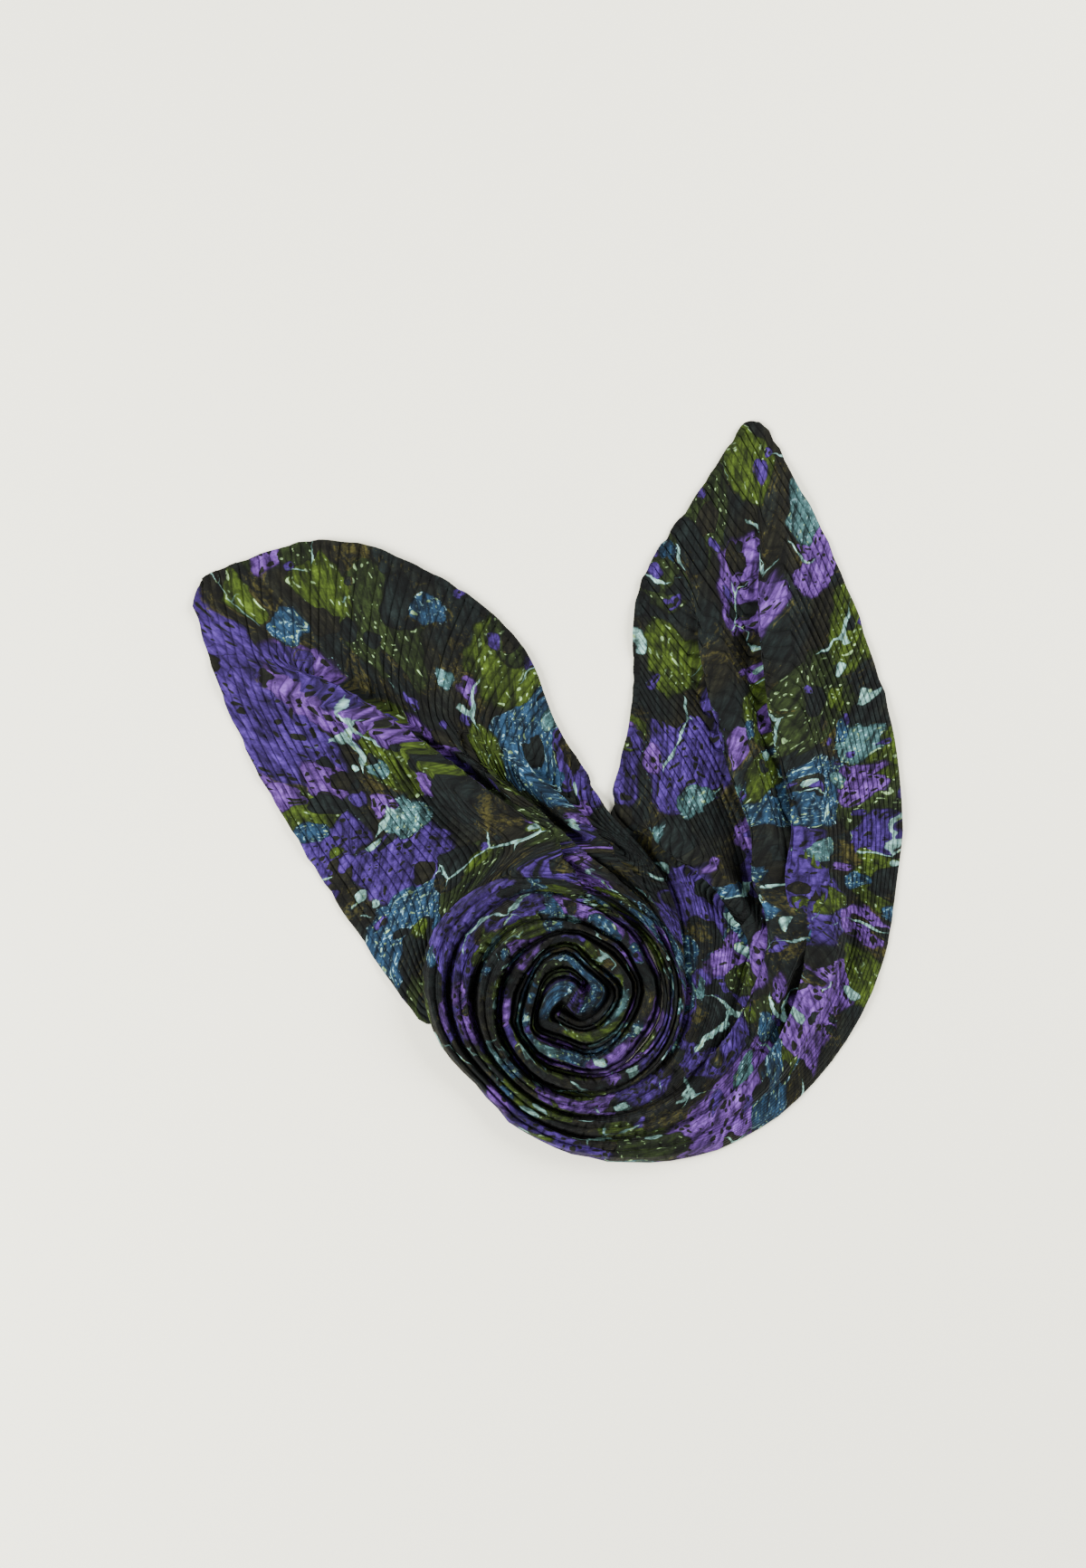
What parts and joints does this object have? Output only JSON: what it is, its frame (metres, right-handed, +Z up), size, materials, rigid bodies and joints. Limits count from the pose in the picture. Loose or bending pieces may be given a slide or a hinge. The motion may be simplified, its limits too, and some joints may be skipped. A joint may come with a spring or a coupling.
{
  "type": "pleated scarf",
  "caption": "Long scarf of finely pleated cloth laid flat, its strip gathered into a two-armed swirl with a lobe at each end.",
  "frame": {"origin": "middle of the outline, on the surface the scarf lies on", "axes": "+Z up from the surface; +Y towards the two end lobes, along the longest extent; +X to the right seen from above"},
  "size_m": [0.514, 0.5414, 0.0264],
  "materials": {
    "pleated_cloth": "matt printed pleated cloth",
    "hem_cloth": "matt stitched rolled hem"
  },
  "bodies": {
    "root": {"pleated_panel": "pleated_cloth", "left_end_hem": "hem_cloth", "right_end_hem": "hem_cloth"}
  },
  "joints": []
}
